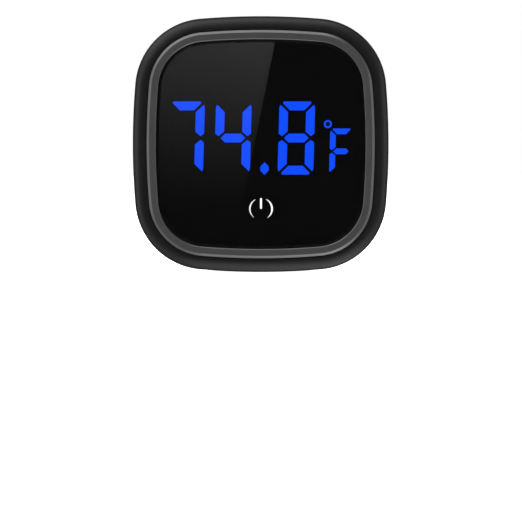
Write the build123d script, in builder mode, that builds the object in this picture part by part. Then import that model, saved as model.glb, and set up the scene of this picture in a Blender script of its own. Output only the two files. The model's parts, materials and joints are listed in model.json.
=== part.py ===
from build123d import *
import os
from math import atan2, degrees, radians, sqrt, tan

# A stick-on digital aquarium thermometer: a soft square case with a glass front, a three-digit
# display with a touch key below it, and a coin cell behind a quarter-turn door in the back.
# Millimetres. The origin is the centre of the gel pad's back face, which sits on the tank wall.
# The display faces -Y, +Z is up, and a "depth" is a distance in front of the tank wall.

# Case outline: a square with bulged sides and round corners
HALF_WIDTH = 24.0
SIDE_RADIUS = 135.4
CORNER_RADIUS = 13.34

# Depths of the layers
PAD_BACK = 0.0
COVER_BACK = 1.0
COVER_FLOOR = 2.6
PARTING = 4.0
POST_JOIN = 4.6
BOARD_BACK = 9.8
BOARD_FRONT = 10.8
SHELF_BACK = 11.9
SHELF_FRONT = 13.1
PRINT_BACK = 13.2
PRINT_FRONT = 13.28
GLASS_BACK = 13.3
RIM_FRONT = 14.55
GLASS_FRONT = 14.6
RING_FRONT = 15.0

# Insets from the case outline
WALL = 2.0
RIM_INSET = 2.51
RING_OUTER = 2.63
RING_INNER = 4.34
GLASS_EDGE = 4.44
PRINT_EDGE = 4.7
WINDOW_EDGE = 5.2
BOARD_EDGE = 2.6
PAD_EDGE = 1.5

# Rounded and bevelled edges
RIM_ROUND = 2.45
BACK_ROUND = 1.2
RING_BEVEL = 0.46
RING_BREAK = 0.12
GLASS_BEVEL = 0.48
EDGE_BREAK = 0.2

# Display: three digits, a decimal point, a degree ring and a small unit letter
LEAN = tan(radians(1.6))
DIGIT_Z = 1.15
DIGIT = (3.35, 6.85, 1.67, 0.34)
UNIT = (2.12, 4.28, 1.08, 0.22)
UNIT_PLACE = (15.04, -1.34)
POINT_PLACE = (0.71, -4.57)
POINT = (0.79, 1.19, 0.38)
DEGREE_PLACE = (12.58, 3.76)
DEGREE_OUTER = 0.76
DEGREE_INNER = 0.41
ALL_SEGMENTS = "abcdefg"
DIGITS = {"digit_1": (-13.975, "abc"), "digit_2": (-5.195, "bcfg"), "digit_3": (6.685, ALL_SEGMENTS)}
UNIT_LIT = "aefg"
LENS_BACK = 12.3
LENS_FRONT = 13.15
LIGHT_FRAME = (36.6, 17.2, 1.5)
LIGHT_FRAME_Z = 1.2
CHIP_WIDTH = 0.5
CHIP_LENGTH = 1.0
LIGHT_CHIP_HEIGHT = 0.35

# Touch key
KEY = (0.06, -12.11)
KEY_RADIUS = 1.93
KEY_ARC_DROP = 0.065
KEY_ARCS = (  # side, offset, shift and growth of the circle that tapers it, upper and lower gap
    (1, 0.31, 0.62, 0.285, 19, 16),
    (-1, 0.28, 0.45, 0.215, 24, 27),
)
KEY_BAR = (2.05, 0.36)
KEY_BAR_RISE = 1.0
KEY_GUIDE_RADIUS = 2.75
KEY_POCKET_RADIUS = 1.9
KEY_POCKET_DEPTH = 0.8
KEY_SPRING_RADIUS = 3.4
KEY_SPRING_WIRE = 0.15

# Case screws and board screws
SCREW_PLACE = 15.8
SCREW_BACK = 1.1
SCREW_HEAD = 1.75
SCREW_HEAD_HEIGHT = 1.3
SCREW_SHANK = 0.8
SCREW_LENGTH = 7.0
SCREW_PILOT = 5.2
SCREW_CROSS = (1.9, 0.4, 0.8)
POST_RADIUS = 2.2
BOARD_SCREWS = [(20.2, 7.5), (20.2, -7.5), (-20.2, 7.5), (-20.2, -7.5)]
BOARD_HEAD = 1.05
BOARD_HEAD_HEIGHT = 0.6
BOARD_SHANK = 0.45
BOARD_SCREW_LENGTH = 2.4
BOARD_CROSS = (1.1, 0.24, 0.35)
BOARD_BOSS = 1.3
BOARD_PILOT = 0.5

# Battery door: a three-start quick thread, right-handed about +Y
DOOR_Z = 4.5
DOOR_BACK = 1.2
DOOR_FLANGE = 16.0
FLANGE_SEAT = 2.4
SKIRT_OUTER = 13.5
SKIRT_INNER = 12.5
SKIRT_END = 6.2
BORE_RADIUS = 14.5
BORE_END = 6.6
THREAD_LEAD = 9.0
LUG_DEPTH = 5.5
LUG_THICK = 0.8
LUG_RADIUS = 14.2
LUG_SPAN = 24.0
LEDGE_DEPTH = 4.5
LEDGE_THICK = 0.9
LEDGE_RADIUS = 13.65
LEDGE_SPAN = 36.0
SLOT = (16.0, 1.9)
SLOT_DEPTH = 0.7
ARROW_RADIUS = 11.0
ARROW_HEAD = 1.1
ARROW_STROKE = 0.7
ARROW_DEPTH = 0.25
ARROW_SPAN = (62, 118)
INDEX_REACH = 14.4
INDEX_RADIUS = 0.5
DOOR_PAD_RADIUS = 7.0
O_RING_WIRE = 0.45
O_RING_RADIUS = 14.0

# Coin cell, 24.5 mm across and 5 mm thick, in its well
CELL_BACK = 3.2
CELL_FRONT = 8.2
CELL_RADIUS = 12.25
WELL_RADIUS = 12.6
WELL_FLOOR = 8.9
WELL_END = 9.5

# Glass temperature sensor under a metal cap that touches the tank wall
SENSOR = (0.0, -16.5)
CAP_RADIUS = 3.0
CAP_FLANGE = 3.6
CAP_END = 3.0
CAP_SHEET = 0.4
SOCKET_HEIGHT = 1.8
BEAD_DEPTH = 1.7
LEAD_RADIUS = 0.15
LEAD_OFFSET = 0.4

SIDE_CENTRE = HALF_WIDTH - SIDE_RADIUS
RADIUS_STEP = SIDE_RADIUS - CORNER_RADIUS
CORNER_CENTRE = (SIDE_CENTRE + sqrt(2 * RADIUS_STEP**2 - SIDE_CENTRE**2)) / 2
TANGENT_ANGLE = degrees(atan2(CORNER_CENTRE, CORNER_CENTRE - SIDE_CENTRE))


def at(depth):
    """The plane this far in front of the tank wall: its x is +X, its y is +Z, it faces the viewer."""
    return Plane.XZ.offset(depth)


def soft_square(inset=0.0, mode=Mode.ADD):
    """The case outline moved inwards, as four side arcs and four tangent corner arcs."""
    with BuildLine() as outline:
        for turn in (0, 90, 180, 270):
            side = Vector(SIDE_CENTRE, 0).rotate(Axis.Z, turn)
            corner = Vector(CORNER_CENTRE, CORNER_CENTRE).rotate(Axis.Z, turn)
            CenterArc(side, SIDE_RADIUS - inset, turn - TANGENT_ANGLE, 2 * TANGENT_ANGLE)
            CenterArc(corner, CORNER_RADIUS - inset, turn + TANGENT_ANGLE, 90 - 2 * TANGENT_ANGLE)
    make_face(outline.edges(), mode=mode)


def segment(letter, size, mode=Mode.ADD):
    """One of a digit's seven display segments, with mitred ends and a slight lean to the right."""
    half_w, half_h, thick, slit = size
    bevel = 0.21 * thick
    top = [
        (half_w - slit - 1.3 * bevel, half_h),
        (half_w - slit - bevel, half_h - bevel),
        (half_w - slit - thick, half_h - thick),
    ]
    top += [(-x, z) for x, z in reversed(top)]
    tip = half_w - 0.62 * thick
    middle = [(tip, 0), (tip - thick / 2, -thick / 2), (thick / 2 - tip, -thick / 2)]
    middle += [(-x, -z) for x, z in middle]
    upper_right = [
        (half_w - 0.6 * bevel, half_h - slit - 0.75 * bevel),
        (half_w, half_h - slit - 2.2 * bevel),
        (half_w, 0.49 * thick),
        (half_w - 0.39 * thick, 0.206 * thick),
        (half_w - thick, 0.725 * thick),
        (half_w - thick, half_h - slit - thick),
    ]
    points = {"a": top, "d": top, "g": middle}.get(letter, upper_right)
    flip_x = -1 if letter in "ef" else 1
    flip_z = -1 if letter in "cde" else 1
    leaning = [(flip_x * x + flip_z * z * LEAN, flip_z * z) for x, z in points]
    Polygon(*leaning, align=None, mode=mode)


def decimal_window(mode=Mode.ADD):
    """The decimal point, a tall hexagon that leans with the digits."""
    half_w, half_h, shoulder = POINT
    left = [(half_h * LEAN, half_h), (-half_w, shoulder), (-half_w, -shoulder)]
    with Locations(POINT_PLACE):
        Polygon(*left, *[(-x, -z) for x, z in left], align=None, mode=mode)


def digit_windows(mode=Mode.ADD):
    """Every segment of the three digits and of the unit letter, and the decimal point."""
    for x, _ in DIGITS.values():
        with Locations((x, DIGIT_Z)):
            for letter in ALL_SEGMENTS:
                segment(letter, DIGIT, mode)
    with Locations(UNIT_PLACE):
        for letter in ALL_SEGMENTS:
            segment(letter, UNIT, mode)
    decimal_window(mode)


def make_key_symbol():
    """The standby sign: two tapered arcs and a round-ended bar between their upper ends."""
    reach = 2 * KEY_RADIUS
    with BuildSketch() as symbol:
        for side, offset, shift, growth, upper_gap, lower_gap in KEY_ARCS:
            with BuildSketch(mode=Mode.PRIVATE) as arc:
                Circle(KEY_RADIUS)
                with Locations((-side * shift, -KEY_ARC_DROP)):
                    Circle(KEY_RADIUS + growth, mode=Mode.SUBTRACT)
                with BuildLine():
                    low = Vector(0, -reach).rotate(Axis.Z, side * lower_gap)
                    high = Vector(0, reach).rotate(Axis.Z, -side * upper_gap)
                    Polyline((0, 0), low, (side * reach, -reach), (side * reach, reach), high, close=True)
                make_face(mode=Mode.INTERSECT)
            with Locations((side * offset, 0)):
                add(arc.sketch)
        with Locations((0, KEY_BAR_RISE)):
            SlotOverall(*KEY_BAR, rotation=90)
    return symbol.sketch


KEY_SYMBOL = make_key_symbol()


def post_places():
    """The four corners where the case is screwed together."""
    return GridLocations(2 * SCREW_PLACE, 2 * SCREW_PLACE, 2, 2)


def make_thread_tooth(inner, outer, thick, span):
    """A short helical tooth about +Z, centred on the X axis."""
    rise = THREAD_LEAD * span / 360
    middle = (inner + outer) / 2
    with BuildPart() as tooth:
        with BuildLine() as route:
            Helix(THREAD_LEAD, rise, middle, center=(0, 0, -rise / 2))
        with BuildSketch(Plane(origin=(middle, 0, -rise / 2), x_dir=(1, 0, 0), z_dir=(0, 1, 0))):
            Rectangle(outer - inner, thick)
        sweep(path=route.edges()[0], is_frenet=True)
    return tooth.part


def door_teeth(depth):
    """Three evenly spaced places about the door's axis, at this depth."""
    return Locations(Plane(origin=(0, -depth, DOOR_Z), x_dir=(1, 0, 0), z_dir=(0, 1, 0)))


def make_leads(place, count, pitch, body_half, foot_end):
    """The bent legs on both long sides of a chip on the board's rear face."""
    width, sheet = 0.3, 0.15
    with BuildPart() as leads:
        for i in range(count):
            x = place[0] + (i - (count - 1) / 2) * pitch
            for side in (1, -1):
                steps = [
                    (-BOARD_BACK, foot_end),
                    (sheet - BOARD_BACK, foot_end),
                    (sheet - BOARD_BACK, body_half + 0.45),
                    (0.6 - BOARD_BACK, body_half + 0.45),
                    (0.6 - BOARD_BACK, body_half),
                    (0.6 - sheet - BOARD_BACK, body_half),
                    (0.6 - sheet - BOARD_BACK, body_half + 0.45 - sheet),
                    (-BOARD_BACK, body_half + 0.45 - sheet),
                ]
                with BuildSketch(Plane.YZ.offset(x - width / 2)):
                    Polygon(*[(y, place[1] + side * z) for y, z in steps], align=None)
                extrude(amount=width)
    return leads


def make_board_blocks(places, size, height):
    """Small rectangular components on the board's rear face, all of one size."""
    with BuildPart() as blocks:
        with BuildSketch(at(BOARD_BACK - height)):
            with Locations(*places):
                Rectangle(*size)
        extrude(amount=height)
        fillet(blocks.edges().filter_by(Axis.Y), 0.08)
    return blocks


def save(piece, name):
    """Label a finished piece and write it as its own file."""
    piece.part.label = name
    export_step(piece.part, f"parts/{name}.step")


os.makedirs("parts", exist_ok=True)

# ---- Front case: rim, shelf under the glass, cavity, corner posts and board bosses
with BuildPart() as front_case:
    with BuildSketch(at(PARTING)):
        soft_square()
    extrude(amount=RIM_FRONT - PARTING)
    fillet(front_case.faces().sort_by(Axis.Y)[0].edges(), RIM_ROUND)
    chamfer(front_case.faces().sort_by(Axis.Y)[-1].edges(), EDGE_BREAK)
    with BuildSketch(at(SHELF_FRONT)):
        soft_square(RIM_INSET)
    extrude(amount=RIM_FRONT - SHELF_FRONT, mode=Mode.SUBTRACT)
    with BuildSketch(at(SHELF_BACK)):
        soft_square(WINDOW_EDGE)
    extrude(amount=SHELF_FRONT - SHELF_BACK, mode=Mode.SUBTRACT)
    with BuildSketch(at(PARTING)):
        soft_square(WALL)
    extrude(amount=SHELF_BACK - PARTING, mode=Mode.SUBTRACT)
    with BuildSketch(at(POST_JOIN)):
        with post_places():
            Circle(POST_RADIUS)
    extrude(amount=SHELF_BACK - POST_JOIN)
    with BuildSketch(at(BOARD_FRONT)):
        with Locations(*BOARD_SCREWS):
            Circle(BOARD_BOSS)
    extrude(amount=SHELF_BACK - BOARD_FRONT)
    with BuildSketch(at(POST_JOIN)):
        with post_places():
            Circle(SCREW_SHANK)
    extrude(amount=SCREW_PILOT, mode=Mode.SUBTRACT)
    with BuildSketch(at(BOARD_FRONT)):
        with Locations(*BOARD_SCREWS):
            Circle(BOARD_SHANK)
    extrude(amount=SHELF_BACK - BOARD_FRONT + BOARD_PILOT, mode=Mode.SUBTRACT)
save(front_case, "front_case")

# ---- Trim ring round the glass
with BuildPart() as trim_ring:
    with BuildSketch(at(SHELF_FRONT)):
        soft_square(RING_OUTER)
        soft_square(RING_INNER, mode=Mode.SUBTRACT)
    extrude(amount=RING_FRONT - SHELF_FRONT)
    chamfer(trim_ring.faces().sort_by(Axis.Y)[0].outer_wire().edges(), RING_BEVEL)
    chamfer(trim_ring.faces().sort_by(Axis.Y)[0].inner_wires().edges(), RING_BREAK)
save(trim_ring, "trim_ring")

# ---- Glass, the dark print on its back with windows, its tape, and the touch key's symbol
with BuildPart() as front_glass:
    with BuildSketch(at(GLASS_BACK)):
        soft_square(GLASS_EDGE)
    extrude(amount=GLASS_FRONT - GLASS_BACK)
    chamfer(front_glass.faces().sort_by(Axis.Y)[0].edges(), GLASS_BEVEL)
save(front_glass, "front_glass")

with BuildPart() as glass_print:
    with BuildSketch(at(PRINT_BACK)):
        soft_square(PRINT_EDGE)
        digit_windows(Mode.SUBTRACT)
        with Locations(DEGREE_PLACE):
            Circle(DEGREE_OUTER, mode=Mode.SUBTRACT)
            Circle(DEGREE_INNER)
        with Locations(KEY):
            add(KEY_SYMBOL, mode=Mode.SUBTRACT)
    extrude(amount=PRINT_FRONT - PRINT_BACK)
save(glass_print, "glass_print")

with BuildPart() as glass_tape:
    with BuildSketch(at(SHELF_FRONT)):
        soft_square(PRINT_EDGE)
        soft_square(WINDOW_EDGE, mode=Mode.SUBTRACT)
    extrude(amount=PRINT_BACK - SHELF_FRONT)
save(glass_tape, "glass_tape")

with BuildPart() as power_icon:
    with BuildSketch(at(PRINT_BACK)):
        with Locations(KEY):
            add(KEY_SYMBOL)
    extrude(amount=PRINT_FRONT - PRINT_BACK)
save(power_icon, "power_icon")

with BuildPart() as icon_guide:
    with BuildSketch(at(BOARD_FRONT)):
        with Locations(KEY):
            Circle(KEY_GUIDE_RADIUS)
    extrude(amount=PRINT_BACK - BOARD_FRONT)
    with BuildSketch(at(BOARD_FRONT)):
        with Locations(KEY):
            Circle(KEY_POCKET_RADIUS)
    extrude(amount=KEY_POCKET_DEPTH, mode=Mode.SUBTRACT)
save(icon_guide, "icon_guide")

# ---- Light frame: a white block with one cell for every segment
with BuildPart() as light_frame:
    with BuildSketch(at(BOARD_FRONT)):
        with Locations((0, LIGHT_FRAME_Z)):
            RectangleRounded(*LIGHT_FRAME)
        digit_windows(Mode.SUBTRACT)
        with Locations(DEGREE_PLACE):
            Circle(DEGREE_OUTER, mode=Mode.SUBTRACT)
    extrude(amount=SHELF_FRONT - BOARD_FRONT)
save(light_frame, "light_frame")


def make_lenses(place, size, letters):
    """The translucent lenses of some of a digit's segments."""
    with BuildPart() as lenses:
        with BuildSketch(at(LENS_BACK)):
            with Locations(place):
                for letter in letters:
                    segment(letter, size)
        extrude(amount=LENS_FRONT - LENS_BACK)
    return lenses


for name, (digit_x, lit) in DIGITS.items():
    save(make_lenses((digit_x, DIGIT_Z), DIGIT, lit), f"{name}_lit")
    unlit = [letter for letter in ALL_SEGMENTS if letter not in lit]
    if unlit:
        save(make_lenses((digit_x, DIGIT_Z), DIGIT, unlit), f"{name}_unlit")
save(make_lenses(UNIT_PLACE, UNIT, UNIT_LIT), "unit_lit")
save(make_lenses(UNIT_PLACE, UNIT, "bcd"), "unit_unlit")

with BuildPart() as decimal_point:
    with BuildSketch(at(LENS_BACK)):
        decimal_window()
    extrude(amount=LENS_FRONT - LENS_BACK)
save(decimal_point, "decimal_point")

with BuildPart() as degree_ring:
    with BuildSketch(at(LENS_BACK)):
        with Locations(DEGREE_PLACE):
            Circle(DEGREE_OUTER)
            Circle(DEGREE_INNER, mode=Mode.SUBTRACT)
    extrude(amount=LENS_FRONT - LENS_BACK)
save(degree_ring, "degree_ring")


# ---- Light-emitting chips, one under every segment, and one under the touch key
def chip_places(place, size):
    """The middle of each upright segment and of each level segment of a digit."""
    half_w, half_h, thick, _ = size
    side, level = half_w - thick / 2, half_h - thick / 2
    upright = [(x, z) for x in (-side, side) for z in (-half_h / 2, half_h / 2)]
    flat = [(0, level), (0, 0), (0, -level)]
    return [[(place[0] + x + z * LEAN, place[1] + z) for x, z in row] for row in (upright, flat)]


with BuildPart() as display_leds:
    characters = [((digit_x, DIGIT_Z), DIGIT) for digit_x, _ in DIGITS.values()]
    characters.append((UNIT_PLACE, UNIT))
    with BuildSketch(at(BOARD_FRONT)):
        for place, size in characters:
            upright_places, flat_places = chip_places(place, size)
            with Locations(*upright_places):
                Rectangle(CHIP_WIDTH, CHIP_LENGTH)
            with Locations(*flat_places):
                Rectangle(CHIP_LENGTH, CHIP_WIDTH)
        with Locations(POINT_PLACE, DEGREE_PLACE, KEY):
            Rectangle(CHIP_WIDTH, CHIP_LENGTH)
    extrude(amount=LIGHT_CHIP_HEIGHT)
save(display_leds, "display_leds")

# ---- Touch key spring, from the board to the back of the glass print
with BuildPart() as touch_spring:
    spring_height = PRINT_BACK - BOARD_FRONT - 2 * KEY_SPRING_WIRE
    spring_start = Vector(KEY[0] + KEY_SPRING_RADIUS, -BOARD_FRONT - KEY_SPRING_WIRE, KEY[1])
    with BuildLine() as coil:
        Helix(
            spring_height / 3,
            spring_height,
            KEY_SPRING_RADIUS,
            center=(KEY[0], spring_start.Y, KEY[1]),
            direction=(0, -1, 0),
        )
    with BuildSketch(Plane(origin=coil.edges()[0] @ 0, z_dir=coil.edges()[0] % 0)):
        Circle(KEY_SPRING_WIRE)
    sweep(path=coil.edges()[0], is_frenet=True)
save(touch_spring, "touch_spring")

# ---- Main board
STRIP = 0.2
STRIP_WIDTH = 3.0
NEGATIVE_PIN = (7.0, DOOR_Z)
POSITIVE_PIN = (-13.05, DOOR_Z)
with BuildPart() as main_board:
    with BuildSketch(at(BOARD_BACK)):
        soft_square(BOARD_EDGE)
        with post_places():
            Circle(POST_RADIUS + 0.3, mode=Mode.SUBTRACT)
        with Locations(*BOARD_SCREWS):
            Circle(BOARD_SHANK + 0.15, mode=Mode.SUBTRACT)
        with Locations(SENSOR):
            with GridLocations(2 * LEAD_OFFSET, 1, 2, 1):
                Circle(LEAD_RADIUS + 0.05, mode=Mode.SUBTRACT)
        with Locations(NEGATIVE_PIN, POSITIVE_PIN):
            Rectangle(STRIP + 0.2, STRIP_WIDTH + 0.2, mode=Mode.SUBTRACT)
    extrude(amount=BOARD_FRONT - BOARD_BACK)
save(main_board, "main_board")

with BuildPart() as board_screws:
    cross_length, cross_width, cross_depth = BOARD_CROSS
    with BuildSketch(at(BOARD_BACK - BOARD_HEAD_HEIGHT)):
        with Locations(*BOARD_SCREWS):
            Circle(BOARD_HEAD)
    extrude(amount=BOARD_HEAD_HEIGHT)
    fillet(board_screws.faces().group_by(Axis.Y)[-1].edges(), 0.25)
    with BuildSketch(at(BOARD_BACK)):
        with Locations(*BOARD_SCREWS):
            Circle(BOARD_SHANK)
    extrude(amount=BOARD_SCREW_LENGTH)
    with BuildSketch(at(BOARD_BACK - BOARD_HEAD_HEIGHT)):
        with Locations(*BOARD_SCREWS):
            Rectangle(cross_length, cross_width)
            Rectangle(cross_width, cross_length)
    extrude(amount=cross_depth, mode=Mode.SUBTRACT)
save(board_screws, "board_screws")

# ---- Chips and small components on the board's rear face
CONTROLLER = (-9.0, -15.8)
TOUCH_CHIP = (8.0, -13.5)
controller_chip = make_board_blocks([CONTROLLER], (5.6, 4.0), 1.3)
save(controller_chip, "controller_chip")
save(make_leads(CONTROLLER, 8, 0.65, 2.0, 3.0), "controller_leads")
touch_chip = make_board_blocks([TOUCH_CHIP], (2.9, 1.6), 1.0)
save(touch_chip, "touch_chip")
save(make_leads(TOUCH_CHIP, 3, 0.95, 0.8, 1.6), "touch_chip_leads")
CAPACITORS = [(-14.5, -11.5), (-4.0, -12.5), (4.6, -12.5), (12.5, -11.2), (4.2, -20.0)]
save(make_board_blocks(CAPACITORS, (CHIP_LENGTH, CHIP_WIDTH), 0.5), "chip_capacitors")
RESISTORS = [(x, -18.6) for x in (6.0, 7.6, 9.2, 10.8)] + [(-4.0, -19.6), (-4.0, -18.4)]
save(make_board_blocks(RESISTORS, (CHIP_WIDTH, CHIP_LENGTH), 0.35), "chip_resistors")
save(make_board_blocks([(-4.0, -15.6)], (1.5, 3.2), 0.8), "clock_crystal")

# ---- Battery contacts: spring strips soldered into the board
with BuildPart() as negative_contact:
    with BuildSketch(Plane.XY.offset(DOOR_Z - STRIP_WIDTH / 2)):
        with BuildLine():
            FilletPolyline(
                (NEGATIVE_PIN[0], -BOARD_FRONT),
                (NEGATIVE_PIN[0], -WELL_FLOOR + STRIP / 2),
                (3.0, -WELL_FLOOR + STRIP / 2),
                (-2.6, -CELL_FRONT - STRIP / 2),
                (-6.2, -WELL_FLOOR + STRIP),
                radius=0.3,
            )
        trace(line_width=STRIP)
    extrude(amount=STRIP_WIDTH)
save(negative_contact, "negative_contact")

with BuildPart() as positive_contact:
    with BuildSketch(Plane.XY.offset(DOOR_Z - STRIP_WIDTH / 2)):
        with BuildLine():
            FilletPolyline(
                (POSITIVE_PIN[0], -BOARD_FRONT),
                (POSITIVE_PIN[0], -8.2),
                (-CELL_RADIUS - 0.08, -7.5),
                (-12.9, -6.85),
                radius=0.3,
            )
        trace(line_width=STRIP)
    extrude(amount=STRIP_WIDTH)
save(positive_contact, "positive_contact")


# ---- Coin cell
def door_disc(radius, mode=Mode.ADD):
    """A circle about the door's axis."""
    with Locations((0, DOOR_Z)):
        Circle(radius, mode=mode)


CELL_SHEET = 0.25
CAP_EDGE = 11.5
CAP_BACK = 6.9
CRIMP_BACK = 6.8
CRIMP_HEIGHT = 1.25
CAN_STEP = 0.2
with BuildPart() as cell_can:
    with BuildSketch(at(CELL_BACK)):
        door_disc(CELL_RADIUS)
    extrude(amount=CELL_FRONT - CELL_BACK - CAN_STEP)
    fillet(cell_can.faces().sort_by(Axis.Y)[-1].edges(), 0.5)
    with BuildSketch(at(CELL_BACK + CELL_SHEET)):
        door_disc(CELL_RADIUS - CELL_SHEET)
    extrude(amount=CELL_FRONT - CELL_BACK, mode=Mode.SUBTRACT)
save(cell_can, "cell_can")

with BuildPart() as cell_gasket:
    with BuildSketch(at(CRIMP_BACK)):
        door_disc(CELL_RADIUS - CELL_SHEET)
        door_disc(CAP_EDGE, Mode.SUBTRACT)
    extrude(amount=CRIMP_HEIGHT)
save(cell_gasket, "cell_gasket")

with BuildPart() as cell_cap:
    with BuildSketch(at(CAP_BACK)):
        door_disc(CAP_EDGE)
    extrude(amount=CELL_FRONT - CAP_BACK)
    fillet(cell_cap.faces().sort_by(Axis.Y)[0].edges(), 0.3)
    with BuildSketch(at(CAP_BACK)):
        door_disc(CAP_EDGE - CELL_SHEET)
    extrude(amount=CELL_FRONT - CAP_BACK - CELL_SHEET, mode=Mode.SUBTRACT)
save(cell_cap, "cell_cap")

with BuildPart() as cell_core:
    with BuildSketch(at(CELL_BACK + CELL_SHEET)):
        door_disc(CAP_EDGE - CELL_SHEET - 0.05)
    extrude(amount=CELL_FRONT - CELL_BACK - 2 * CELL_SHEET)
save(cell_core, "cell_core")

# ---- Rear cover: tray, locating tongue, battery well with its three ledges, sensor socket
LEDGE = make_thread_tooth(LEDGE_RADIUS, BORE_RADIUS + 0.2, LEDGE_THICK, LEDGE_SPAN)
LUG = make_thread_tooth(SKIRT_OUTER - 0.2, LUG_RADIUS, LUG_THICK, LUG_SPAN)
GASKET_OUTER = 0.75
GASKET_INNER = 1.55
GASKET_HEIGHT = 0.6
GROOVE_DEPTH = 0.65
TONGUE_GAP = 0.1
TONGUE_THICK = 1.0
TONGUE_HEIGHT = 1.2
BORE_TOP = BORE_END + 0.6
with BuildPart() as rear_cover:
    with BuildSketch(at(COVER_BACK)):
        soft_square()
    extrude(amount=PARTING - COVER_BACK)
    fillet(rear_cover.faces().sort_by(Axis.Y)[-1].edges(), BACK_ROUND)
    chamfer(rear_cover.faces().sort_by(Axis.Y)[0].edges(), EDGE_BREAK)
    with BuildSketch(at(COVER_FLOOR)):
        soft_square(WALL)
    extrude(amount=PARTING - COVER_FLOOR, mode=Mode.SUBTRACT)
    with BuildSketch(at(PARTING - GROOVE_DEPTH)):
        soft_square(GASKET_OUTER)
        soft_square(GASKET_INNER, mode=Mode.SUBTRACT)
    extrude(amount=GROOVE_DEPTH, mode=Mode.SUBTRACT)
    with BuildSketch(at(COVER_FLOOR)):
        soft_square(WALL + TONGUE_GAP)
        soft_square(WALL + TONGUE_GAP + TONGUE_THICK, mode=Mode.SUBTRACT)
    extrude(amount=PARTING + TONGUE_HEIGHT - COVER_FLOOR)
    with BuildSketch(at(COVER_FLOOR)):
        with post_places():
            Circle(POST_RADIUS + 0.5)
    extrude(amount=POST_JOIN - COVER_FLOOR)
    with BuildSketch(at(COVER_FLOOR)):
        with Locations(SENSOR):
            Circle(CAP_FLANGE + 1.0)
    extrude(amount=SOCKET_HEIGHT)
    with BuildSketch(at(COVER_FLOOR)):
        door_disc(DOOR_FLANGE + 1.4)
    extrude(amount=PARTING - COVER_FLOOR)
    with BuildSketch(at(PARTING)):
        door_disc(BORE_RADIUS + 1.0)
    extrude(amount=BORE_TOP - PARTING)
    with BuildSketch(at(BORE_TOP)):
        door_disc(WELL_RADIUS + 1.0)
    extrude(amount=WELL_END - BORE_TOP)
    with BuildSketch(at(COVER_BACK)):
        door_disc(DOOR_FLANGE + 0.2)
    extrude(amount=FLANGE_SEAT - COVER_BACK, mode=Mode.SUBTRACT)
    with BuildSketch(at(FLANGE_SEAT)):
        door_disc(BORE_RADIUS)
    extrude(amount=BORE_END - FLANGE_SEAT, mode=Mode.SUBTRACT)
    with BuildSketch(at(BORE_END)):
        door_disc(WELL_RADIUS)
    extrude(amount=WELL_FLOOR - BORE_END, mode=Mode.SUBTRACT)
    with BuildSketch(at(WELL_FLOOR)):
        with Locations(NEGATIVE_PIN):
            Rectangle(0.7, 3.4)
    extrude(amount=WELL_END - WELL_FLOOR, mode=Mode.SUBTRACT)
    with BuildSketch(at(BORE_END)):
        with Locations((-WELL_RADIUS - 0.1, DOOR_Z)):
            Rectangle(1.2, 4.0)
    extrude(amount=WELL_END - BORE_END, mode=Mode.SUBTRACT)
    with BuildSketch(at(COVER_BACK)):
        with post_places():
            Circle(SCREW_HEAD + 0.15)
    extrude(amount=SCREW_BACK + SCREW_HEAD_HEIGHT - COVER_BACK, mode=Mode.SUBTRACT)
    with BuildSketch(at(COVER_BACK)):
        with post_places():
            Circle(SCREW_SHANK + 0.2)
    extrude(amount=POST_JOIN - COVER_BACK, mode=Mode.SUBTRACT)
    with BuildSketch(at(COVER_BACK)):
        with Locations(SENSOR):
            Circle(CAP_RADIUS + 0.05)
    extrude(amount=COVER_FLOOR - COVER_BACK, mode=Mode.SUBTRACT)
    with BuildSketch(at(COVER_FLOOR)):
        with Locations(SENSOR):
            Circle(CAP_FLANGE + 0.05)
    extrude(amount=SOCKET_HEIGHT, mode=Mode.SUBTRACT)
    with door_teeth(LEDGE_DEPTH):
        with PolarLocations(0, 3):
            add(LEDGE, rotation=(0, 0, 90 - LEDGE_SPAN / 2))
save(rear_cover, "rear_cover")

with BuildPart() as case_gasket:
    with BuildSketch(at(PARTING - GASKET_HEIGHT)):
        soft_square(GASKET_OUTER + 0.05)
        soft_square(GASKET_INNER - 0.05, mode=Mode.SUBTRACT)
    extrude(amount=GASKET_HEIGHT)
save(case_gasket, "case_gasket")

with BuildPart() as case_screws:
    cross_length, cross_width, cross_depth = SCREW_CROSS
    with BuildSketch(at(SCREW_BACK)):
        with post_places():
            Circle(SCREW_HEAD)
    extrude(amount=SCREW_HEAD_HEIGHT)
    fillet(case_screws.faces().group_by(Axis.Y)[-1].edges(), 0.4)
    with BuildSketch(at(SCREW_BACK + SCREW_HEAD_HEIGHT)):
        with post_places():
            Circle(SCREW_SHANK)
    extrude(amount=SCREW_LENGTH)
    with BuildSketch(at(SCREW_BACK)):
        with post_places():
            Rectangle(cross_length, cross_width)
            Rectangle(cross_width, cross_length)
    extrude(amount=cross_depth, mode=Mode.SUBTRACT)
save(case_screws, "case_screws")


# ---- Battery door with its coin slot, opening arrow, skirt and three lugs
def opening_arrow():
    """A curved arrow about the door's axis, which points the way the door opens."""
    head_angle, tail_angle = ARROW_SPAN
    head = Vector(ARROW_RADIUS, 0).rotate(Axis.Z, head_angle) + Vector(0, DOOR_Z)
    with BuildLine() as bow:
        CenterArc((0, DOOR_Z), ARROW_RADIUS, head_angle, tail_angle - head_angle)
    trace(bow.edges(), ARROW_STROKE)
    with Locations(head):
        RegularPolygon(ARROW_HEAD, 3, rotation=head_angle - 90)


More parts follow.
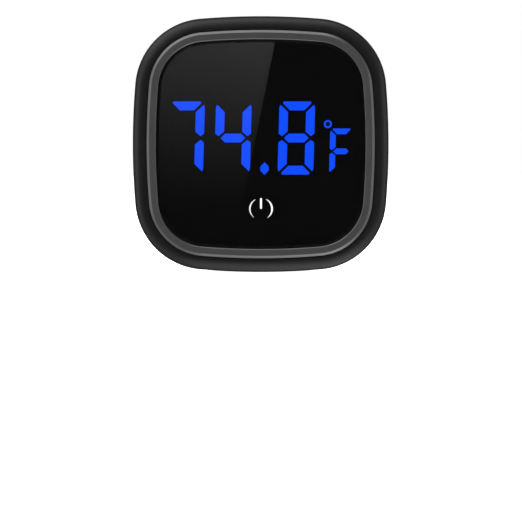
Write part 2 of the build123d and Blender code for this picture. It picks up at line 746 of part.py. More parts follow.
with BuildPart() as battery_door:
    with BuildSketch(at(DOOR_BACK)):
        door_disc(DOOR_FLANGE)
    extrude(amount=FLANGE_SEAT - DOOR_BACK)
    chamfer(battery_door.faces().sort_by(Axis.Y)[-1].edges(), 0.3)
    with BuildSketch(at(FLANGE_SEAT)):
        door_disc(SKIRT_OUTER)
        door_disc(SKIRT_INNER, Mode.SUBTRACT)
    extrude(amount=SKIRT_END - FLANGE_SEAT)
    with door_teeth(LUG_DEPTH):
        with PolarLocations(0, 3):
            add(LUG, rotation=(0, 0, 90 - LUG_SPAN / 2))
    with BuildSketch(at(DOOR_BACK)):
        with Locations((0, DOOR_Z)):
            SlotOverall(*SLOT)
    extrude(amount=SLOT_DEPTH, mode=Mode.SUBTRACT)
    with BuildSketch(at(DOOR_BACK)):
        opening_arrow()
        with Locations((0, DOOR_Z + INDEX_REACH)):
            Circle(INDEX_RADIUS)
    extrude(amount=ARROW_DEPTH, mode=Mode.SUBTRACT)
save(battery_door, "battery_door")

with BuildPart() as door_o_ring:
    with BuildSketch(Plane.XY.offset(DOOR_Z)):
        with Locations((O_RING_RADIUS, -FLANGE_SEAT - 0.05 - O_RING_WIRE)):
            Circle(O_RING_WIRE)
    revolve(axis=Axis((0, 0, DOOR_Z), (0, 1, 0)))
save(door_o_ring, "door_o_ring")

with BuildPart() as door_pad:
    with BuildSketch(at(FLANGE_SEAT)):
        door_disc(DOOR_PAD_RADIUS)
    extrude(amount=CELL_BACK - FLANGE_SEAT - 0.05)
save(door_pad, "door_pad")


# ---- Temperature sensor: metal cap, potting, glass bead and its two leads
def sensor_disc(radius, mode=Mode.ADD):
    """A circle about the sensor's axis."""
    with Locations(SENSOR):
        Circle(radius, mode=mode)


with BuildPart() as sensor_cap:
    with BuildSketch(at(PAD_BACK)):
        sensor_disc(CAP_RADIUS)
    extrude(amount=CAP_END)
    with BuildSketch(at(COVER_FLOOR)):
        sensor_disc(CAP_FLANGE)
    extrude(amount=CAP_END - COVER_FLOOR)
    fillet(sensor_cap.faces().sort_by(Axis.Y)[-1].edges(), 0.35)
    with BuildSketch(at(PAD_BACK + CAP_SHEET)):
        sensor_disc(CAP_RADIUS - CAP_SHEET)
    extrude(amount=CAP_END - CAP_SHEET, mode=Mode.SUBTRACT)
save(sensor_cap, "sensor_cap")

BEAD_RADIUS = 0.8
BEAD_NECK = 0.7
with BuildPart() as thermistor_bead:
    with Locations((SENSOR[0], -BEAD_DEPTH, SENSOR[1])):
        Sphere(BEAD_RADIUS)
    with BuildSketch(at(BEAD_DEPTH)):
        sensor_disc(BEAD_RADIUS)
    extrude(amount=BEAD_NECK)
save(thermistor_bead, "thermistor_bead")

with BuildPart() as sensor_leads:
    with BuildSketch(at(BEAD_DEPTH + BEAD_NECK)):
        with Locations(SENSOR):
            with GridLocations(2 * LEAD_OFFSET, 1, 2, 1):
                Circle(LEAD_RADIUS)
    extrude(amount=BOARD_FRONT + 0.3 - BEAD_DEPTH - BEAD_NECK)
save(sensor_leads, "sensor_leads")

with BuildPart() as sensor_potting:
    with BuildSketch(at(PAD_BACK + CAP_SHEET)):
        sensor_disc(CAP_RADIUS - CAP_SHEET)
    extrude(amount=CAP_END - CAP_SHEET - 0.1)
    add(thermistor_bead.part, mode=Mode.SUBTRACT)
    add(sensor_leads.part, mode=Mode.SUBTRACT)
save(sensor_potting, "sensor_potting")

# ---- Gel mounting pad, open round the battery door and the sensor cap
with BuildPart() as mounting_pad:
    with BuildSketch(at(PAD_BACK)):
        soft_square(PAD_EDGE)
        door_disc(DOOR_FLANGE + 0.6, Mode.SUBTRACT)
        sensor_disc(CAP_RADIUS + 0.3, Mode.SUBTRACT)
    extrude(amount=COVER_BACK - PAD_BACK)
save(mounting_pad, "mounting_pad")
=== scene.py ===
import json
from math import cos, radians

import bmesh
import bpy
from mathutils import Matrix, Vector


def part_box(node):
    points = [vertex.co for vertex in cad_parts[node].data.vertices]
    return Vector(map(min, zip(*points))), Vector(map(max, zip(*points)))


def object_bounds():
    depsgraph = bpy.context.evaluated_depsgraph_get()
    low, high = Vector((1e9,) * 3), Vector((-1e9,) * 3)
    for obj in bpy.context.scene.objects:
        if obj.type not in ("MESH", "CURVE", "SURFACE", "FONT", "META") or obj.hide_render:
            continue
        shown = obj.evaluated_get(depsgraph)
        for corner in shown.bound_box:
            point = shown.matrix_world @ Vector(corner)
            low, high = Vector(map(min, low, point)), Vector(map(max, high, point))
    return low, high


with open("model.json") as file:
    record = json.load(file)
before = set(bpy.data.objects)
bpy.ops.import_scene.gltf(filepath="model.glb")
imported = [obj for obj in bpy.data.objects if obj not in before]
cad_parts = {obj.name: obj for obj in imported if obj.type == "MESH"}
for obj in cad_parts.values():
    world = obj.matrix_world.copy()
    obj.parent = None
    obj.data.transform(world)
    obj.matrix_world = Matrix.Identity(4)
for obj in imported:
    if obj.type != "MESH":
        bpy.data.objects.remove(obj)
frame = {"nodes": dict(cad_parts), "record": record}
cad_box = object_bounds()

MM = 0.001
TOWARDS_VIEWER = (0.0, -1.0, 0.0)
WHITE = (1.0, 1.0, 1.0, 1.0)

# --- Where things are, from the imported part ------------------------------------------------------

case_low, case_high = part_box("front_case")
case_width = case_high.x - case_low.x
floor_height = cad_box[0].z
glass_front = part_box("front_glass")[0].y

# --- Camera --------------------------------------------------------------------------------------

CAMERA_REACH = 1.0  # from the lens to the case's widest section
WIDEST_DEPTH = 12.1 * MM  # that section, in front of the tank wall
FRAMED_WIDTHS = 2.0416  # case widths across the picture
AIM_ASIDE = 0.06 * MM
AIM_BELOW = 21.93 * MM  # the aim is under the object's centre
SENSOR = 36.0

# --- Studio settings -----------------------------------------------------------------------------

FLOOR_RADIUS = 3.0
FLOOR_CORNERS = 96
PAPER_GRAIN = 30.0 * MM
PAPER_SHADES = ((0.9, 0.9, 0.9, 1.0), (0.92, 0.92, 0.92, 1.0))
BACKDROP_RADIANCE = 1.0
ROOM_RADIANCE = 0.52
SOFT_BOXES = (  # direction from the object, added radiance, full angle, fade angle
    ((0.0, 0.0, 1.0), 0.66, 10.0, 44.0),
    ((-0.62, -0.5, 0.66), 0.75, 10.0, 44.0),
    ((-0.6, 0.45, 0.66), 1.1, 6.0, 28.0),
    ((0.25, -0.48, -0.84), 1.05, 10.0, 42.0),
    ((0.32, 0.45, -0.83), 1.2, 6.0, 32.0),
    ((-1.0, 0.1, 0.0), 0.3, 4.0, 26.0),
    ((1.0, 0.1, 0.0), 0.17, 4.0, 26.0),
)
DARK_SIDES = (  # direction from the object, radiance there, full angle, fade angle
    ((0.71, 0.0, 0.70), 0.25, 6.0, 34.0),
    ((-0.68, -0.73, -0.12), 0.2, 14.0, 38.0),
    ((0.68, -0.73, 0.0), 0.25, 14.0, 38.0),
    ((0.0, 1.0, 0.0), 0.03, 40.0, 84.0),
)
FRONT_RADIANCE = 0.033  # behind the camera, from where the room brightens evenly towards its sides
FRONT_DARK_ANGLE = 4.0
FRONT_FADE_ANGLE = 88.0
REAR_LAMP_DIRECTION = (0.5, 0.6, 0.8)  # a soft lamp that brings out the relief of the back
REAR_LAMP_REACH = 0.9
REAR_LAMP_SIDE = 0.35
REAR_LAMP_POWER = 11.0

# The pane that the glass mirrors: its places are given where they show on the glass.
PANE_REACH = 1.5
PANE_TOP = 21.0 * MM
PANE_FOOT = -13.5 * MM
PANE_LEFT = -21.0 * MM
PANE_EDGE_AT_TOP = 3.05 * MM
PANE_EDGE_LEAN = 0.2007
PANE_RADIANCE = 0.37
PANE_FALL = 1.5
PANE_LEFT_SHARE = 0.8


# --- Node helpers --------------------------------------------------------------------------------

NOISE_RANGE = (0.25, 0.75)  # where nearly all of the soft noise lies
EDGE_SAMPLES = 4
EDGE_TURN = (0.995, 0.9)  # cosines between the true normal and the rounded one, none to full


def number(tree, operation, *values):
    """A Math node of constants and sockets."""
    node = tree.nodes.new("ShaderNodeMath")
    node.operation = operation
    for socket, value in zip(node.inputs, values):
        feed(tree, socket, value)
    return node.outputs[0]


def feed(tree, socket, value):
    """Links a socket to an input, or sets the input to a constant."""
    if isinstance(value, bpy.types.NodeSocket):
        tree.links.new(value, socket)
    else:
        socket.default_value = value


def remap(tree, value, low, high, start=0.0, end=1.0, smooth=False):
    """Takes low..high to start..end, clamped."""
    node = tree.nodes.new("ShaderNodeMapRange")
    node.interpolation_type = "SMOOTHSTEP" if smooth else "LINEAR"
    feed(tree, node.inputs["Value"], value)
    feed(tree, node.inputs["From Min"], low)
    feed(tree, node.inputs["From Max"], high)
    feed(tree, node.inputs["To Min"], start)
    feed(tree, node.inputs["To Max"], end)
    return node.outputs["Result"]


def blend(tree, share, first, second):
    """A colour between two colours."""
    node = tree.nodes.new("ShaderNodeMix")
    node.data_type = "RGBA"
    feed(tree, node.inputs["Factor"], share)
    feed(tree, node.inputs["A"], first)
    feed(tree, node.inputs["B"], second)
    return node.outputs["Result"]


def dot_product(tree, first, second):
    """The cosine of the angle between two unit vectors."""
    node = tree.nodes.new("ShaderNodeVectorMath")
    node.operation = "DOT_PRODUCT"
    feed(tree, node.inputs[0], first)
    feed(tree, node.inputs[1], second)
    return node.outputs["Value"]


def shade(colour, factor):
    """The colour made lighter or darker, as four numbers."""
    return (*(channel * factor for channel in colour), 1.0)


def tones(tree, share, colour, low, high):
    """The colour times low where the share is 0, and times high where it is 1."""
    return blend(tree, share, shade(colour, low), shade(colour, high))


def place(tree, centre=(0.0, 0.0, 0.0), stretch=(1.0, 1.0, 1.0)):
    """The point on the part, in metres from a centre."""
    coordinates = tree.nodes.new("ShaderNodeTexCoord")
    mapping = tree.nodes.new("ShaderNodeMapping")
    mapping.vector_type = "TEXTURE"
    mapping.inputs["Location"].default_value = centre
    mapping.inputs["Scale"].default_value = stretch
    tree.links.new(coordinates.outputs["Object"], mapping.inputs["Vector"])
    return mapping.outputs["Vector"]


def mottle(tree, point, feature, detail=2.0):
    """Soft noise whose features have that size in metres, spread over 0 to 1."""
    node = tree.nodes.new("ShaderNodeTexNoise")
    node.inputs["Scale"].default_value = 1 / feature
    node.inputs["Detail"].default_value = detail
    tree.links.new(point, node.inputs["Vector"])
    return remap(tree, node.outputs["Fac"], *NOISE_RANGE)


def cells(tree, point, feature, measure="F1"):
    """Distance to the nearest of scattered points that far apart, about 0 to 1."""
    node = tree.nodes.new("ShaderNodeTexVoronoi")
    node.feature = measure
    node.inputs["Scale"].default_value = 1 / feature
    tree.links.new(point, node.inputs["Vector"])
    return node.outputs["Distance"]


def emboss(tree, shader, height, depth):
    """Bump: a height of 1 stands that many metres proud."""
    node = tree.nodes.new("ShaderNodeBump")
    node.inputs["Distance"].default_value = depth
    tree.links.new(height, node.inputs["Height"])
    tree.links.new(node.outputs["Normal"], shader.inputs["Normal"])


def edges(tree, radius):
    """1 along sharp edges, 0 on open faces."""
    rounded = tree.nodes.new("ShaderNodeBevel")
    rounded.samples = EDGE_SAMPLES
    rounded.inputs["Radius"].default_value = radius
    geometry = tree.nodes.new("ShaderNodeNewGeometry")
    same = dot_product(tree, rounded.outputs["Normal"], geometry.outputs["Normal"])
    return remap(tree, same, *EDGE_TURN)


def vary_gloss(tree, shader, share, roughness, below, above):
    """Roughness that rises with the share, from that much below its value to that much above."""
    rough = remap(tree, share, 0, 1, roughness - below, roughness + above)
    feed(tree, shader.inputs["Roughness"], rough)


def start(slot):
    """A new material with its node tree and its Principled shader."""
    material = bpy.data.materials.new("of_" + slot)
    material.use_nodes = True
    tree = material.node_tree
    return material, tree, tree.nodes["Principled BSDF"]


# --- Materials -----------------------------------------------------------------------------------

RING_FLAT = (0.272, 0.272, 0.274)
RING_BEVEL = (0.23, 0.23, 0.232)
# Painted shade: the colour for the ring's inner walls, near black so the gap to the glass reads dark.
RING_WALL_SHADE = (0.02, 0.02, 0.02)
RING_FLAT_ROUGHNESS = 0.62
RING_BEVEL_ROUGHNESS = 0.34
RING_FLAT_FACING = (0.8, 0.95)  # how far a face looks forwards, from bevel to flat
RING_SHADED_WALL_FACING = (0.5, 0.2)  # and from bevel to the inner walls, which take a painted shade
INK = (0.0033, 0.0033, 0.0036)
GEL = (0.17, 0.18, 0.19)
GLASS_TINTS = ((0.97, 0.985, 0.98, 1.0), (0.985, 0.99, 0.99, 1.0))
GLASS_IOR = 1.5
MASK_GREENS = ((0.008, 0.09, 0.035, 1.0), (0.012, 0.12, 0.05, 1.0))
TRACK_GREEN = (0.03, 0.2, 0.07, 1.0)
BEAD_AMBERS = ((0.32, 0.1, 0.04, 1.0), (0.5, 0.2, 0.09, 1.0))
FAINT_GLOSS = 0.05


def moulded(slot, colour, roughness, grain, depth, wear_and_highlight=0.15, specular=0.5):
    """Moulded plastic: spark-eroded grain, cloudy gloss, and edges slightly polished with use and lighter
    in colour, partly a painted highlight.
    """
    material, tree, shader = start(slot)
    point = place(tree)
    clouds = mottle(tree, point, 4 * MM, detail=3.0)
    worn_and_highlit = number(tree, "MULTIPLY", edges(tree, radius=0.15 * MM), wear_and_highlight)
    base = tones(tree, clouds, colour, low=0.88, high=1.12)
    # Edges lighter in colour: partly polish from use, partly a painted highlight that brings out the
    # relief.
    feed(tree, shader.inputs["Base Color"], blend(tree, worn_and_highlit, base, shade(colour, 1.8)))
    matt = remap(tree, mottle(tree, point, 1.3 * MM), 0, 1, roughness - 0.03, roughness + 0.03)
    feed(tree, shader.inputs["Roughness"], number(tree, "SUBTRACT", matt, worn_and_highlit))
    shader.inputs["Specular IOR Level"].default_value = specular
    fine = cells(tree, point, grain)
    coarse = mottle(tree, point, feature=2.6 * grain)
    emboss(tree, shader, number(tree, "ADD", fine, number(tree, "MULTIPLY", coarse, 0.6)), depth)
    return material


def metallic(slot, colour, roughness, grain, depth, stretch=(1.0, 1.0, 1.0), tarnish=0.8):
    """Bare or plated metal: drawn or rolled lines, dull patches and bright edges."""
    material, tree, shader = start(slot)
    lines = mottle(tree, place(tree, stretch=stretch), grain, detail=3.0)
    patches = mottle(tree, place(tree), 2.5 * MM, detail=3.0)
    base = tones(tree, patches, colour, low=tarnish, high=1.0)
    bright = number(tree, "MULTIPLY", edges(tree, radius=0.08 * MM), 0.4)
    feed(tree, shader.inputs["Base Color"], blend(tree, bright, base, shade(colour, 1.15)))
    shader.inputs["Metallic"].default_value = 1.0
    dull = number(tree, "ADD", number(tree, "MULTIPLY", lines, 0.6), number(tree, "MULTIPLY", patches, 0.4))
    vary_gloss(tree, shader, dull, roughness, below=0.06, above=0.08)
    emboss(tree, shader, lines, depth)
    return material


def spun(slot, colour, roughness, centre, depth, bare=1.0):
    """Drawn sheet metal, turned on its axis (along Y): fine rings round the centre."""
    material, tree, shader = start(slot)
    point = place(tree, centre=centre)
    apart = tree.nodes.new("ShaderNodeSeparateXYZ")
    tree.links.new(point, apart.inputs["Vector"])
    across = number(tree, "POWER", apart.outputs["X"], 2.0)
    along = number(tree, "POWER", apart.outputs["Z"], 2.0)
    radius = number(tree, "SQRT", number(tree, "ADD", across, along))
    ring = tree.nodes.new("ShaderNodeCombineXYZ")
    tree.links.new(radius, ring.inputs["X"])
    tree.links.new(apart.outputs["Y"], ring.inputs["Y"])
    turned = mottle(tree, ring.outputs["Vector"], 0.06 * MM, detail=3.0)
    cloudy = mottle(tree, point, 1.5 * MM)
    feed(tree, shader.inputs["Base Color"], tones(tree, cloudy, colour, low=0.85, high=1.0))
    shader.inputs["Metallic"].default_value = bare
    vary_gloss(tree, shader, turned, roughness, below=0.08, above=0.1)
    emboss(tree, shader, turned, depth)
    return material


def rubbery(slot, colour, roughness, bloom):
    """Moulded rubber or foam: a dusty bloom over fine pores."""
    material, tree, shader = start(slot)
    point = place(tree)
    dust = mottle(tree, point, 1.2 * MM, detail=4.0)
    feed(tree, shader.inputs["Base Color"], tones(tree, dust, colour, low=0.85, high=bloom))
    vary_gloss(tree, shader, dust, roughness, below=0.08, above=0.08)
    shader.inputs["Sheen Weight"].default_value = 0.15
    emboss(tree, shader, cells(tree, point, 0.14 * MM), depth=0.008 * MM)
    return material


def cast(slot, colour, roughness, cloud=0.2, depth=0.002 * MM):
    """Poured, inked or fired stuff: smooth, a little cloudy, with a faint flow."""
    material, tree, shader = start(slot)
    point = place(tree)
    flow = mottle(tree, point, 2 * MM, detail=3.0)
    feed(tree, shader.inputs["Base Color"], tones(tree, flow, colour, low=1 - cloud, high=1.0))
    vary_gloss(tree, shader, flow, roughness, below=0.04, above=0.06)
    emboss(tree, shader, mottle(tree, point, 0.3 * MM), depth)
    return material


def satin_ring(slot):
    """The trim ring: dyed, bead-blasted aluminium with a smoother bevel and fine scuffs; its inner walls
    painted near black as shade, its edges made lighter as a painted highlight.
    """
    material, tree, shader = start(slot)
    point = place(tree)
    normal = tree.nodes.new("ShaderNodeNewGeometry").outputs["Normal"]
    forward = dot_product(tree, normal, TOWARDS_VIEWER)
    flat = remap(tree, forward, *RING_FLAT_FACING)
    # Painted shade: faces that turn sideways, the ring's inner walls, go near black.
    shaded_wall = remap(tree, forward, *RING_SHADED_WALL_FACING)
    clouds = mottle(tree, point, 5 * MM, detail=3.0)
    dyed = tones(tree, clouds, RING_FLAT, low=0.95, high=1.05)
    polished = tones(tree, clouds, RING_BEVEL, low=0.95, high=1.05)
    # Painted highlight: the ring's edges are made lighter in colour.
    bright = number(tree, "MULTIPLY", edges(tree, radius=0.08 * MM), 0.3)
    base = blend(tree, shaded_wall, blend(tree, flat, polished, dyed), shade(RING_WALL_SHADE, 1.0))
    feed(tree, shader.inputs["Base Color"], blend(tree, bright, base, shade(RING_FLAT, 1.3)))
    shader.inputs["Metallic"].default_value = 1.0
    scuffed = remap(tree, mottle(tree, point, 0.8 * MM), 0, 1, start=-0.03, end=0.03)
    matt = remap(tree, flat, 0, 1, RING_BEVEL_ROUGHNESS, RING_FLAT_ROUGHNESS)
    feed(tree, shader.inputs["Roughness"], number(tree, "ADD", matt, scuffed))
    emboss(tree, shader, cells(tree, point, 0.07 * MM), depth=0.003 * MM)
    return material


def clear_glass(slot):
    """The front pane: clear float glass, a touch green, with faint wiping marks in its gloss."""
    material, tree, shader = start(slot)
    tint = mottle(tree, place(tree), 9 * MM)
    feed(tree, shader.inputs["Base Color"], blend(tree, tint, *GLASS_TINTS))
    shader.inputs["Transmission Weight"].default_value = 1.0
    shader.inputs["IOR"].default_value = GLASS_IOR
    wiped = mottle(tree, place(tree, stretch=(3.0, 1.0, 1.0)), 5 * MM, detail=3.0)
    feed(tree, shader.inputs["Roughness"], remap(tree, wiped, 0.5, 1.0, start=0.0, end=0.012))
    return material


def black_print(slot):
    """Black ink screened on the back of the glass, or a smoked lens: nearly no gloss of its own."""
    material, tree, shader = start(slot)
    point = place(tree)
    ink = mottle(tree, point, 0.5 * MM, detail=3.0)
    feed(tree, shader.inputs["Base Color"], tones(tree, ink, INK, low=0.85, high=1.15))
    feed(tree, shader.inputs["Roughness"], remap(tree, ink, 0, 1, start=0.5, end=0.6))
    shader.inputs["Specular IOR Level"].default_value = FAINT_GLOSS
    emboss(tree, shader, cells(tree, point, 0.12 * MM), depth=0.0003 * MM)
    return material


def lit(slot, colour, glow, strength, feature):
    """A translucent lens with light behind it: a little uneven, as a diffuser is."""
    material, tree, shader = start(slot)
    point = place(tree)
    uneven = mottle(tree, point, feature)
    feed(tree, shader.inputs["Base Color"], tones(tree, uneven, colour, low=0.8, high=1.0))
    feed(tree, shader.inputs["Emission Color"], tones(tree, uneven, glow, low=0.96, high=1.04))
    shader.inputs["Emission Strength"].default_value = strength
    feed(tree, shader.inputs["Roughness"], remap(tree, uneven, 0, 1, start=0.42, end=0.52))
    shader.inputs["Specular IOR Level"].default_value = FAINT_GLOSS
    emboss(tree, shader, cells(tree, point, 0.2 * MM), depth=0.004 * MM)
    return material


def gel(slot):
    """Tacky translucent gel: glossy, slightly cloudy, with pinhead bubbles."""
    material, tree, shader = start(slot)
    point = place(tree)
    haze = mottle(tree, point, 6 * MM)
    bubbles = remap(tree, cells(tree, point, 1.1 * MM), 0.06, 0.12)
    body = tones(tree, haze, GEL, low=0.94, high=1.05)
    feed(tree, shader.inputs["Base Color"], blend(tree, bubbles, shade(GEL, 1.6), body))
    shader.inputs["Subsurface Weight"].default_value = 0.15
    shader.inputs["Subsurface Radius"].default_value = (1.2, 1.2, 1.3)
    shader.inputs["Subsurface Scale"].default_value = 0.6 * MM
    feed(tree, shader.inputs["Roughness"], remap(tree, haze, 0, 1, start=0.3, end=0.4))
    shader.inputs["Coat Weight"].default_value = 0.15
    shader.inputs["Coat Roughness"].default_value = 0.2
    skin = number(tree, "ADD", number(tree, "MULTIPLY", bubbles, 0.5), mottle(tree, point, 0.7 * MM))
    emboss(tree, shader, skin, depth=0.003 * MM)
    return material


def solder_mask(slot):
    """Green mask over copper: raised tracks, and the weave of the board."""
    material, tree, shader = start(slot)
    point = place(tree)
    tracks = remap(tree, cells(tree, point, 1.6 * MM, "DISTANCE_TO_EDGE"), 0.06, 0.12)
    weave = mottle(tree, place(tree, stretch=(1.0, 1.0, 4.0)), 0.12 * MM)
    mask = blend(tree, weave, *MASK_GREENS)
    feed(tree, shader.inputs["Base Color"], blend(tree, tracks, TRACK_GREEN, mask))
    feed(tree, shader.inputs["Roughness"], remap(tree, weave, 0, 1, start=0.22, end=0.34))
    emboss(tree, shader, number(tree, "SUBTRACT", 1.0, tracks), depth=0.02 * MM)
    return material


def bead(slot):
    """Amber glass bead over the sensing chip."""
    material, tree, shader = start(slot)
    swirl = mottle(tree, place(tree), 0.4 * MM)
    feed(tree, shader.inputs["Base Color"], blend(tree, swirl, *BEAD_AMBERS))
    shader.inputs["Transmission Weight"].default_value = 0.6
    shader.inputs["IOR"].default_value = GLASS_IOR
    feed(tree, shader.inputs["Roughness"], remap(tree, swirl, 0, 1, start=0.05, end=0.12))
    return material


def make_materials():
    """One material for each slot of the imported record: its slot, colour and roughness come first."""
    sensor_low, sensor_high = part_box("sensor_cap")
    sensor_centre = (sensor_low + sensor_high) / 2
    cell_low, cell_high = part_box("cell_can")
    cell_centre = (cell_low + cell_high) / 2
    wound = (1.0, 1.0, 6.0)
    rolled = (8.0, 1.0, 1.0)
    return {
        "case_black": moulded("case_black", (0.005, 0.005, 0.0053), 0.34, 0.1 * MM, 0.003 * MM, 0.05),
        "cover_black": moulded("cover_black", (0.012, 0.012, 0.013), 0.46, 0.16 * MM, 0.01 * MM, 0.3),
        "ring_grey": satin_ring("ring_grey"),
        "front_glass": clear_glass("front_glass"),
        "print_black": black_print("print_black"),
        "tape_black": rubbery("tape_black", (0.02, 0.02, 0.02), 0.7, 1.3),
        "icon_white": lit("icon_white", (0.9, 0.92, 0.95), (1.0, 1.0, 1.0), 1.05, 0.6 * MM),
        "guide_milky": cast("guide_milky", (0.82, 0.84, 0.86), 0.3),
        "segment_blue": lit("segment_blue", (0.002, 0.01, 0.1), (0.0034, 0.072, 1.0), 1.09, 1.4 * MM),
        "segment_dark": black_print("segment_dark"),
        "frame_white": moulded("frame_white", (0.75, 0.76, 0.77), 0.5, 0.2 * MM, 0.004 * MM, 0.0),
        "led_package": cast("led_package", (0.85, 0.82, 0.6), 0.25),
        "spring_steel": metallic("spring_steel", (0.62, 0.6, 0.56), 0.26, 0.08 * MM, 0.002 * MM, wound),
        "board_green": solder_mask("board_green"),
        "chip_black": moulded("chip_black", (0.03, 0.03, 0.032), 0.6, 0.09 * MM, 0.006 * MM, 0.0),
        "tinned_lead": metallic("tinned_lead", (0.7, 0.7, 0.71), 0.3, 0.2 * MM, 0.004 * MM),
        "ceramic_tan": cast("ceramic_tan", (0.55, 0.42, 0.28), 0.45),
        "crystal_can": metallic("crystal_can", (0.75, 0.74, 0.7), 0.25, 0.15 * MM, 0.002 * MM, rolled),
        "contact_nickel": metallic("contact_nickel", (0.68, 0.66, 0.6), 0.28, 0.1 * MM, 0.002 * MM, rolled),
        "cell_steel": spun("cell_steel", (0.72, 0.72, 0.73), 0.24, cell_centre, 0.002 * MM),
        "cell_seal": cast("cell_seal", (0.1, 0.1, 0.12), 0.4),
        "cell_core": rubbery("cell_core", (0.12, 0.12, 0.13), 0.8, 1.3),
        "seal_black": rubbery("seal_black", (0.016, 0.016, 0.016), 0.5, 1.5),
        "screw_steel": metallic("screw_steel", (0.55, 0.55, 0.56), 0.3, 0.1 * MM, 0.003 * MM),
        "pad_foam": rubbery("pad_foam", (0.06, 0.06, 0.065), 0.85, 1.4),
        "cap_steel": spun("cap_steel", (0.66, 0.66, 0.67), 0.32, sensor_centre, 0.003 * MM, 0.7),
        "potting": cast("potting", (0.05, 0.05, 0.06), 0.2),
        "bead_glass": bead("bead_glass"),
        "lead_copper": metallic("lead_copper", (0.72, 0.4, 0.25), 0.3, 0.2 * MM, 0.003 * MM),
        "gel_grey": gel("gel_grey"),
    }


def dress(materials):
    """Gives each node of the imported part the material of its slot."""
    for part in frame["record"]["subparts"]:
        for held in frame["nodes"][part["node"]].material_slots:
            held.material = materials[part["material_slot"]]


# --- Studio --------------------------------------------------------------------------------------


def mesh_object(name, mesh_data):
    """A new object in the scene from a filled bmesh."""
    mesh = bpy.data.meshes.new(name)
    mesh_data.to_mesh(mesh)
    mesh_data.free()
    made = bpy.data.objects.new(name, mesh)
    bpy.context.scene.collection.objects.link(made)
    return made


def make_floor():
    """A pale round floor under the object. Only its upper side shows."""
    shape = bmesh.new()
    bmesh.ops.create_circle(shape, cap_ends=True, segments=FLOOR_CORNERS, radius=FLOOR_RADIUS)
    floor = mesh_object("floor", shape)
    floor.location.z = floor_height
    floor.visible_glossy = False
    floor.visible_transmission = False
    material, tree, shader = start("floor")
    paper = mottle(tree, place(tree), PAPER_GRAIN)
    feed(tree, shader.inputs["Base Color"], blend(tree, paper, *PAPER_SHADES))
    shader.inputs["Roughness"].default_value = 1.0
    shader.inputs["Specular IOR Level"].default_value = 0.0
    shader.inputs["Emission Color"].default_value = WHITE
    shader.inputs["Emission Strength"].default_value = 1.0
    output = tree.nodes["Material Output"]
    clear = tree.nodes.new("ShaderNodeBsdfTransparent")
    sides = tree.nodes.new("ShaderNodeMixShader")
    geometry = tree.nodes.new("ShaderNodeNewGeometry")
    tree.links.new(geometry.outputs["Backfacing"], sides.inputs["Fac"])
    tree.links.new(shader.outputs["BSDF"], sides.inputs[1])
    tree.links.new(clear.outputs["BSDF"], sides.inputs[2])
    tree.links.new(sides.outputs["Shader"], output.inputs["Surface"])
    floor.data.materials.append(material)


def lobe(tree, direction, axis, full_angle, fade_angle):
    """1 within full_angle of the axis, 0 past fade_angle, smooth between."""
    near = dot_product(tree, direction, Vector(axis).normalized())
    return remap(tree, near, cos(radians(fade_angle)), cos(radians(full_angle)), smooth=True)


def light_studio():
    """A bright room with soft boxes and dark sides, and plain white where the camera sees it."""
    world = bpy.data.worlds.new("studio")
    bpy.context.scene.world = world
    world.use_nodes = True
    tree = world.node_tree
    direction = tree.nodes.new("ShaderNodeTexCoord").outputs["Generated"]
    radiance = ROOM_RADIANCE
    for axis, strength, full_angle, fade_angle in SOFT_BOXES:
        box = number(tree, "MULTIPLY", lobe(tree, direction, axis, full_angle, fade_angle), strength)
        radiance = number(tree, "ADD", box, radiance)
    for axis, dark_radiance, full_angle, fade_angle in DARK_SIDES:
        dark = lobe(tree, direction, axis, full_angle, fade_angle)
        radiance = remap(tree, dark, 0, 1, radiance, dark_radiance)
    aside = number(tree, "ARCCOSINE", dot_product(tree, direction, TOWARDS_VIEWER))
    aside = remap(tree, aside, radians(FRONT_DARK_ANGLE), radians(FRONT_FADE_ANGLE))
    radiance = remap(tree, aside, 0, 1, FRONT_RADIANCE, radiance)
    room = tree.nodes["Background"]
    tree.links.new(radiance, room.inputs["Strength"])
    backdrop = tree.nodes.new("ShaderNodeBackground")
    backdrop.inputs["Strength"].default_value = BACKDROP_RADIANCE
    backdrop.inputs["Color"].default_value = WHITE
    room.inputs["Color"].default_value = WHITE
    path = tree.nodes.new("ShaderNodeLightPath")
    mix = tree.nodes.new("ShaderNodeMixShader")
    tree.links.new(path.outputs["Is Camera Ray"], mix.inputs["Fac"])
    tree.links.new(room.outputs["Background"], mix.inputs[1])
    tree.links.new(backdrop.outputs["Background"], mix.inputs[2])
    tree.links.new(mix.outputs["Shader"], tree.nodes["World Output"].inputs["Surface"])


def make_rear_lamp():
    """A soft lamp above and behind the object."""
    lamp = bpy.data.lights.new("rear_lamp", "AREA")
    lamp.size = REAR_LAMP_SIDE
    lamp.energy = REAR_LAMP_POWER
    held = bpy.data.objects.new("rear_lamp", lamp)
    bpy.context.scene.collection.objects.link(held)
    held.location = Vector(REAR_LAMP_DIRECTION).normalized() * REAR_LAMP_REACH
    held.rotation_euler = (-held.location).to_track_quat("-Z", "Y").to_euler()
    held.visible_glossy = False
    held.visible_transmission = False


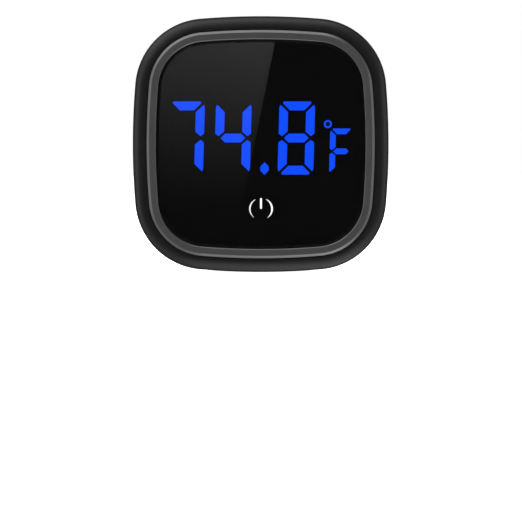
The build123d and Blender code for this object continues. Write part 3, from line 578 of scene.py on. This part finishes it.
def make_window_pane(camera):
    """A glowing pane behind the camera, for the glass to mirror: bright at its top, with a leaning edge."""
    camera_reach = glass_front - camera.location.y
    spread = 1 + PANE_REACH / camera_reach
    edge_at_foot = PANE_EDGE_AT_TOP - PANE_EDGE_LEAN * (PANE_TOP - PANE_FOOT)
    corners = (
        (PANE_LEFT, PANE_FOOT),
        (edge_at_foot, PANE_FOOT),
        (PANE_EDGE_AT_TOP, PANE_TOP),
        (PANE_LEFT, PANE_TOP),
    )
    shape = bmesh.new()
    shape.faces.new([shape.verts.new((x * spread, 0.0, z * spread)) for x, z in corners])
    pane = mesh_object("window_pane", shape)
    pane.location.y = glass_front - PANE_REACH
    pane.visible_camera = False
    pane.visible_diffuse = False
    pane.visible_shadow = False
    material = bpy.data.materials.new("window_light")
    material.use_nodes = True
    tree = material.node_tree
    tree.nodes.clear()
    apart = tree.nodes.new("ShaderNodeSeparateXYZ")
    tree.links.new(place(tree), apart.inputs["Vector"])
    rise = remap(tree, apart.outputs["Z"], PANE_FOOT * spread, PANE_TOP * spread)
    fall = number(tree, "POWER", rise, PANE_FALL)
    side = remap(tree, apart.outputs["X"], PANE_LEFT * spread, 0.0, PANE_LEFT_SHARE, 1.0)
    light = tree.nodes.new("ShaderNodeEmission")
    radiance = number(tree, "MULTIPLY", number(tree, "MULTIPLY", fall, side), PANE_RADIANCE)
    feed(tree, light.inputs["Strength"], radiance)
    room = tree.nodes.new("ShaderNodeBsdfTransparent")
    both = tree.nodes.new("ShaderNodeAddShader")
    tree.links.new(light.outputs["Emission"], both.inputs[0])
    tree.links.new(room.outputs["BSDF"], both.inputs[1])
    output = tree.nodes.new("ShaderNodeOutputMaterial")
    tree.links.new(both.outputs["Shader"], output.inputs["Surface"])
    pane.data.materials.append(material)


def make_camera():
    """Straight in front of the object, at its height, aimed a little below it."""
    lens = bpy.data.cameras.new("camera")
    camera = bpy.data.objects.new("camera", lens)
    bpy.context.scene.collection.objects.link(camera)
    bpy.context.scene.camera = camera
    camera.location = (0.0, -(CAMERA_REACH + WIDEST_DEPTH), 0.0)
    aim = Vector((AIM_ASIDE, -WIDEST_DEPTH, -AIM_BELOW))
    camera.rotation_euler = (aim - camera.location).to_track_quat("-Z", "Y").to_euler()
    lens.sensor_width = SENSOR
    lens.lens = SENSOR * CAMERA_REACH / (FRAMED_WIDTHS * case_width)
    return camera


# --- Everything together -------------------------------------------------------------------------

bpy.context.scene.view_settings.view_transform = "Standard"
dress(make_materials())
make_floor()
light_studio()
make_rear_lamp()
make_window_pane(make_camera())
